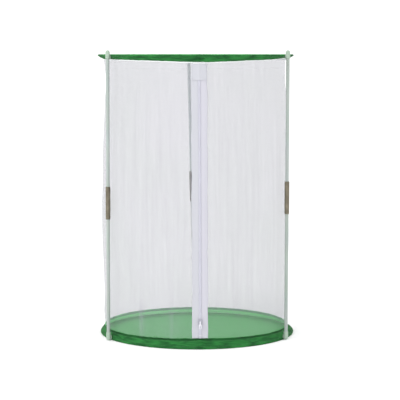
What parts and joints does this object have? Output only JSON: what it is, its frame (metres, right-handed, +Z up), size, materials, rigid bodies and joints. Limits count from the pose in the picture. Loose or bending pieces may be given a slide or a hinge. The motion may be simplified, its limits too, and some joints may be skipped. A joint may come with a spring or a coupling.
{
  "type": "pop up greenhouse",
  "caption": "Small free-standing plant cover: a translucent net drum between two spring hoops, with a zip down the front and sectional poles in sewn pockets.",
  "frame": {"origin": "centre of the floor's underside, on the ground", "axes": "+Z up along the drum's axis, -Y out through the zip, +X to the right seen from the front"},
  "size_m": [0.4999, 0.513, 0.7293],
  "materials": {
    "green_fabric": "matte woven polyester",
    "green_binding": "matte binding tape",
    "white_net": "matte translucent net",
    "zip_tape": "matte woven tape",
    "zip_coil": "satin nylon",
    "hoop_wire": "bright drawn spring wire",
    "crimp_tube": "pressed steel",
    "slider_metal": "white lacquer",
    "puller_plastic": "moulded",
    "mint_webbing": "matte webbing",
    "white_binding": "matte binding tape",
    "fibreglass": "pultruded, satin",
    "ferrule_steel": "dull zinc plate",
    "cap_plastic": "moulded"
  },
  "bodies": {
    "base": {"base_floor": "green_fabric", "base_band": "green_fabric", "base_hoop": "hoop_wire", "base_hoop_crimp": "crimp_tube", "base_binding": "green_binding", "wall_net": "white_net", "zip_tape_left": "zip_tape", "zip_tape_right": "zip_tape", "zip_coil_left": "zip_coil", "zip_coil_right": "zip_coil", "zip_top_patch": "zip_tape", "zip_bottom_stop": "zip_coil", "base_pocket_left": "mint_webbing", "base_pocket_right": "mint_webbing", "base_pocket_back": "mint_webbing"},
    "top": {"top_panel": "white_net", "top_hoop": "hoop_wire", "top_hoop_crimp": "crimp_tube", "top_band": "green_fabric", "top_binding": "white_binding", "top_pocket_left": "mint_webbing", "top_pocket_right": "mint_webbing", "top_pocket_back": "mint_webbing"},
    "slider": {"zip_slider": "slider_metal"},
    "puller": {"zip_puller": "puller_plastic"},
    "pole_left": {"pole_foot_cap_left": "cap_plastic", "pole_lower_rod_left": "fibreglass", "pole_ferrule_left": "ferrule_steel"},
    "pole_left_upper": {"pole_upper_rod_left": "fibreglass", "pole_head_cap_left": "cap_plastic"},
    "pole_right": {"pole_foot_cap_right": "cap_plastic", "pole_lower_rod_right": "fibreglass", "pole_ferrule_right": "ferrule_steel"},
    "pole_right_upper": {"pole_upper_rod_right": "fibreglass", "pole_head_cap_right": "cap_plastic"},
    "pole_back": {"pole_foot_cap_back": "cap_plastic", "pole_lower_rod_back": "fibreglass", "pole_ferrule_back": "ferrule_steel"},
    "pole_back_upper": {"pole_upper_rod_back": "fibreglass", "pole_head_cap_back": "cap_plastic"}
  },
  "joints": [
    {"name": "collapse", "type": "slide", "parent": "base", "child": "top", "axis": [0, 0, 1], "range_m": [-0.62, 0], "deforming": ["wall_net", "zip_tape_left", "zip_tape_right", "zip_coil_left", "zip_coil_right", "zip_top_patch"]},
    {"name": "zip_slide", "type": "slide", "parent": "base", "child": "slider", "axis": [0, 0, 1], "range_m": [-0.022, 0.575]},
    {"name": "puller_swing", "type": "hinge", "parent": "slider", "child": "puller", "pos_m": [0, -0.2473, 0.0675], "axis": [-1, 0, 0], "range_deg": [0, 170]},
    {"name": "pole_left_tilt", "type": "hinge", "parent": "base", "child": "pole_left", "pos_m": [-0.22692, -0.12065, 0.007], "axis": [-0.4695, 0.8829, 0], "range_deg": [-85, 0], "deforming": ["base_pocket_left", "top_pocket_left"]},
    {"name": "pole_left_draw", "type": "slide", "parent": "pole_left", "child": "pole_left_upper", "axis": [-0.003, 0.0055, -1], "range_m": [-0.036, 0]},
    {"name": "pole_right_tilt", "type": "hinge", "parent": "base", "child": "pole_right", "pos_m": [0.22212, -0.12928, 0.007], "axis": [-0.503, -0.8643, 0], "range_deg": [-85, 0], "deforming": ["base_pocket_right", "top_pocket_right"]},
    {"name": "pole_right_draw", "type": "slide", "parent": "pole_right", "child": "pole_right_upper", "axis": [-0.0022, -0.0038, -1], "range_m": [-0.036, 0]},
    {"name": "pole_back_tilt", "type": "hinge", "parent": "base", "child": "pole_back", "pos_m": [0.00583, 0.25693, 0.007], "axis": [0.9997, -0.0227, 0], "range_deg": [-85, 0], "deforming": ["base_pocket_back", "top_pocket_back"]},
    {"name": "pole_back_draw", "type": "slide", "parent": "pole_back", "child": "pole_back_upper", "axis": [0.0236, 0.0002, -0.9997], "range_m": [-0.036, 0]}
  ],
  "couplings": [
    {"joint": "pole_left_draw", "follows": "pole_left_tilt", "m_per_rad": 0.024264},
    {"joint": "pole_right_draw", "follows": "pole_right_tilt", "m_per_rad": 0.024264},
    {"joint": "pole_back_draw", "follows": "pole_back_tilt", "m_per_rad": 0.024264}
  ]
}
